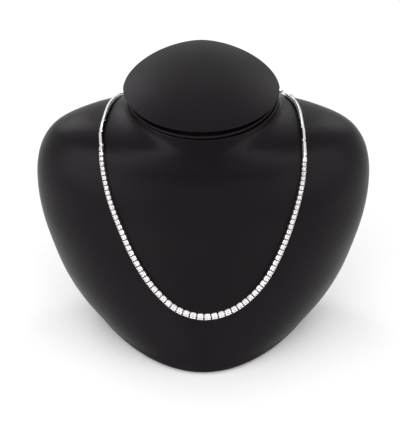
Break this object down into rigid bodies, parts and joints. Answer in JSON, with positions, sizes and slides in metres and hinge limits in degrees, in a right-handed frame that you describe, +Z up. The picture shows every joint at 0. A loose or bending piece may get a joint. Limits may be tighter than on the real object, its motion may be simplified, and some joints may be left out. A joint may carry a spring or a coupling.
{
  "type": "diamond necklace on a neck bust",
  "caption": "Graduated line necklace of round stones in square prong settings, with plain bar links and a box clasp, lying on a padded black neck bust with a round cap.",
  "frame": {"origin": "under the middle of the whole, on the surface that the bust stands on", "axes": "+X across the shoulders to the viewer's right, +Y from the chest to the back, +Z up"},
  "size_m": [0.1914, 0.1214, 0.1549],
  "materials": {
    "black_leatherette": "fine-grained black leatherette with a low satin sheen",
    "felt": "black wool felt",
    "white_gold": "polished rhodium-plated white gold",
    "diamond": "clear faceted round brilliants"
  },
  "bodies": {
    "root": {"bust_body": "black_leatherette", "base_pad": "felt", "neck_ring": "black_leatherette", "neck_cap": "black_leatherette", "row_left_5": "white_gold", "row_left_4": "white_gold", "row_left_3": "white_gold", "row_left_2": "white_gold", "row_left_1": "white_gold", "row_centre": "white_gold", "row_right_1": "white_gold", "row_right_2": "white_gold", "row_right_3": "white_gold", "row_right_4": "white_gold", "row_right_5": "white_gold", "taper_left": "white_gold", "taper_right": "white_gold", "bar_right_1": "white_gold", "bar_right_2": "white_gold", "bar_right_3": "white_gold", "bar_right_4": "white_gold", "bar_right_5": "white_gold", "bar_right_6": "white_gold", "clasp": "white_gold", "bar_left_1": "white_gold", "bar_left_2": "white_gold", "bar_left_3": "white_gold", "bar_left_4": "white_gold", "bar_left_5": "white_gold", "bar_left_6": "white_gold", "bar_left_7": "white_gold", "bar_left_8": "white_gold", "bar_left_9": "white_gold", "bar_left_10": "white_gold", "bar_left_11": "white_gold", "bar_left_12": "white_gold", "bar_left_13": "white_gold", "bar_left_14": "white_gold", "bar_left_15": "white_gold", "bar_left_16": "white_gold", "bar_left_17": "white_gold", "bar_left_18": "white_gold", "bar_left_19": "white_gold", "stones_left_5": "diamond", "stones_left_4": "diamond", "stones_left_3": "diamond", "stones_left_2": "diamond", "stones_left_1": "diamond", "stone_centre": "diamond", "stones_right_1": "diamond", "stones_right_2": "diamond", "stones_right_3": "diamond", "stones_right_4": "diamond", "stones_right_5": "diamond"}
  },
  "joints": []
}
